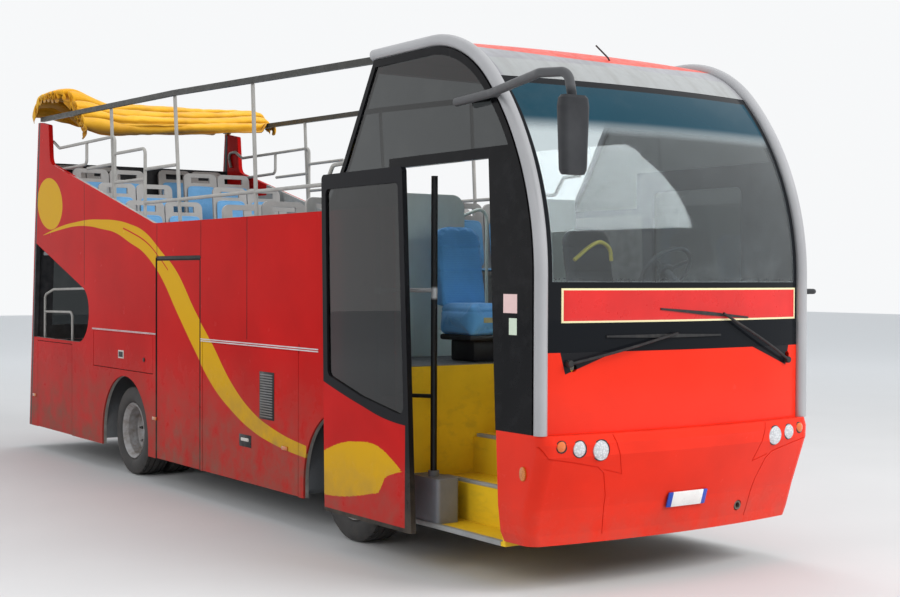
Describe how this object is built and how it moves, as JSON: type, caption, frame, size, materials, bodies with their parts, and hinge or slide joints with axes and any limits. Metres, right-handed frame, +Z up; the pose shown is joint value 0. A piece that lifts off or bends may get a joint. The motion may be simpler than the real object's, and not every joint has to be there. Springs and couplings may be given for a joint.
{
  "type": "open top double decker sightseeing bus",
  "caption": "Open top sightseeing bus: glazed front cab with silver hoops, raised open deck with seats, rear platform, gathered canopy, open front door, steered front axle and twin rear wheels.",
  "frame": {"origin": "on the ground below the middle of the whole bus, mirrors included", "axes": "+X forward, +Y to the bus's left, +Z up"},
  "size_m": [10.57, 2.9183, 4.2235],
  "materials": {
    "chassis_black": "satin black chassis paint",
    "body_red": "glossy red coach paint",
    "gloss_black": "glossy black panel",
    "silver": "satin silver paint on tube",
    "grey_roof": "satin grey, red behind it",
    "glass": "tinted safety glass",
    "tyre": "black tyre rubber",
    "wheel_grey": "grey wheel paint, dusty",
    "engine_grey": "plain block",
    "tank_black": "black tank",
    "lamp_glass": "lamp lens over a bright can",
    "steel": "off-white painted steel tube",
    "rail_dark": "dark anodised rail",
    "deck_grey": "non-slip deck sheet",
    "step_yellow": "yellow step covering",
    "seat_shell": "beige-grey moulded plastic",
    "seat_blue": "light blue seat insert",
    "crew_blue": "blue upholstery",
    "crew_grey": "dark grey upholstery",
    "dash_grey": "grey moulded dashboard",
    "panel_pale": "pale laminate",
    "tarp_yellow": "yellow coated canopy fabric",
    "mirror_black": "black moulded plastic",
    "drive_grey": "grey drive cover",
    "door_red": "red below, black frame above"
  },
  "bodies": {
    "bus_body": {"chassis_frame": "chassis_black", "engine_block": "engine_grey", "fuel_tank": "tank_black", "front_axle": "chassis_black", "rear_axle": "chassis_black", "side_right": "body_red", "side_left": "body_red", "cab_sides": "gloss_black", "rear_wall": "body_red", "front_mask": "body_red", "bumper": "body_red", "lamps": "lamp_glass", "windscreen": "glass", "side_glass": "glass", "front_hoops": "silver", "cab_roof": "grey_roof", "dashboard": "dash_grey", "driver_seat": "crew_grey", "guide_seat": "crew_blue", "cab_floor": "step_yellow", "partition": "panel_pale", "lower_floor": "deck_grey", "stairwell": "panel_pale", "upper_deck": "deck_grey", "deck_seats": "seat_shell", "seat_pads": "seat_blue", "side_rails": "steel", "roof_rails": "rail_dark", "tarp": "tarp_yellow", "mirrors": "mirror_black", "wipers": "mirror_black", "door_drive": "drive_grey"},
    "wheel_front_left": {"rim_front_left": "wheel_grey", "tyre_front_left": "tyre"},
    "wheel_front_right": {"rim_front_right": "wheel_grey", "tyre_front_right": "tyre"},
    "wheels_rear_left": {"rims_rear_left": "wheel_grey", "tyres_rear_left": "tyre"},
    "wheels_rear_right": {"rims_rear_right": "wheel_grey", "tyres_rear_right": "tyre"},
    "knuckle_left": {"knuckle_left": "chassis_black"},
    "knuckle_right": {"knuckle_right": "chassis_black"},
    "door_arm": {"door_arm": "rail_dark"},
    "front_door": {"front_door": "door_red", "front_door_glass": "glass"},
    "mid_door": {"mid_door": "body_red"},
    "rear_locker_door": {"rear_locker_door": "body_red"},
    "arch_flap_left": {"arch_flap_left": "body_red"},
    "arch_flap_right": {"arch_flap_right": "body_red"},
    "locker_flap_left": {"locker_flap_left": "body_red"},
    "locker_flap_right": {"locker_flap_right": "body_red"},
    "engine_lid": {"engine_lid": "body_red"}
  },
  "joints": [
    {"name": "steer_left", "type": "hinge", "parent": "bus_body", "child": "knuckle_left", "pos_m": [2.325, 0.86, 0.46], "axis": [0, 0, 1], "range_deg": [-40, 40]},
    {"name": "spin_front_left", "type": "hinge", "parent": "knuckle_left", "child": "wheel_front_left", "pos_m": [2.325, 1.03, 0.46], "axis": [0, 1, 0], "continuous": true},
    {"name": "spin_rear_left", "type": "hinge", "parent": "bus_body", "child": "wheels_rear_left", "pos_m": [-2.205, 0.87, 0.46], "axis": [0, 1, 0], "continuous": true},
    {"name": "steer_right", "type": "hinge", "parent": "bus_body", "child": "knuckle_right", "pos_m": [2.325, -0.86, 0.46], "axis": [0, 0, 1], "range_deg": [-40, 40]},
    {"name": "spin_front_right", "type": "hinge", "parent": "knuckle_right", "child": "wheel_front_right", "pos_m": [2.325, -1.03, 0.46], "axis": [0, 1, 0], "continuous": true},
    {"name": "spin_rear_right", "type": "hinge", "parent": "bus_body", "child": "wheels_rear_right", "pos_m": [-2.205, -0.87, 0.46], "axis": [0, 1, 0], "continuous": true},
    {"name": "door_arm_swing", "type": "hinge", "parent": "bus_body", "child": "door_arm", "pos_m": [3.385, -1.1, 1.2], "axis": [0, 0, 1], "range_deg": [0, 135.15]},
    {"name": "door_leaf_turn", "type": "hinge", "parent": "door_arm", "child": "front_door", "pos_m": [3.02714, -1.353, 1.2], "axis": [0, 0, 1], "range_deg": [-135.15, 0]},
    {"name": "mid_door_hinge", "type": "hinge", "parent": "bus_body", "child": "mid_door", "pos_m": [-0.3285, -1.246, 1.2], "axis": [0, 0, 1], "range_deg": [0, 90]},
    {"name": "rear_locker_hinge", "type": "hinge", "parent": "bus_body", "child": "rear_locker_door", "pos_m": [-4.9755, -1.246, 0.8], "axis": [0, 0, -1], "range_deg": [0, 95]},
    {"name": "engine_lid_hinge", "type": "hinge", "parent": "bus_body", "child": "engine_lid", "pos_m": [-5.18654, 0, 1.3045], "axis": [0, 1, 0], "range_deg": [0, 80]},
    {"name": "locker_flap_left_hinge", "type": "hinge", "parent": "bus_body", "child": "locker_flap_left", "pos_m": [0.665, 1.246, 1.4695], "axis": [1, 0, 0], "range_deg": [0, 95]},
    {"name": "arch_flap_left_hinge", "type": "hinge", "parent": "bus_body", "child": "arch_flap_left", "pos_m": [-2.28, 1.246, 1.4895], "axis": [1, 0, 0], "range_deg": [0, 95]},
    {"name": "locker_flap_right_hinge", "type": "hinge", "parent": "bus_body", "child": "locker_flap_right", "pos_m": [0.665, -1.246, 1.4695], "axis": [-1, 0, 0], "range_deg": [0, 95]},
    {"name": "arch_flap_right_hinge", "type": "hinge", "parent": "bus_body", "child": "arch_flap_right", "pos_m": [-2.28, -1.246, 1.4895], "axis": [-1, 0, 0], "range_deg": [0, 95]}
  ],
  "couplings": [
    {"joint": "steer_right", "follows": "steer_left", "ratio": 1},
    {"joint": "door_leaf_turn", "follows": "door_arm_swing", "ratio": -1}
  ]
}
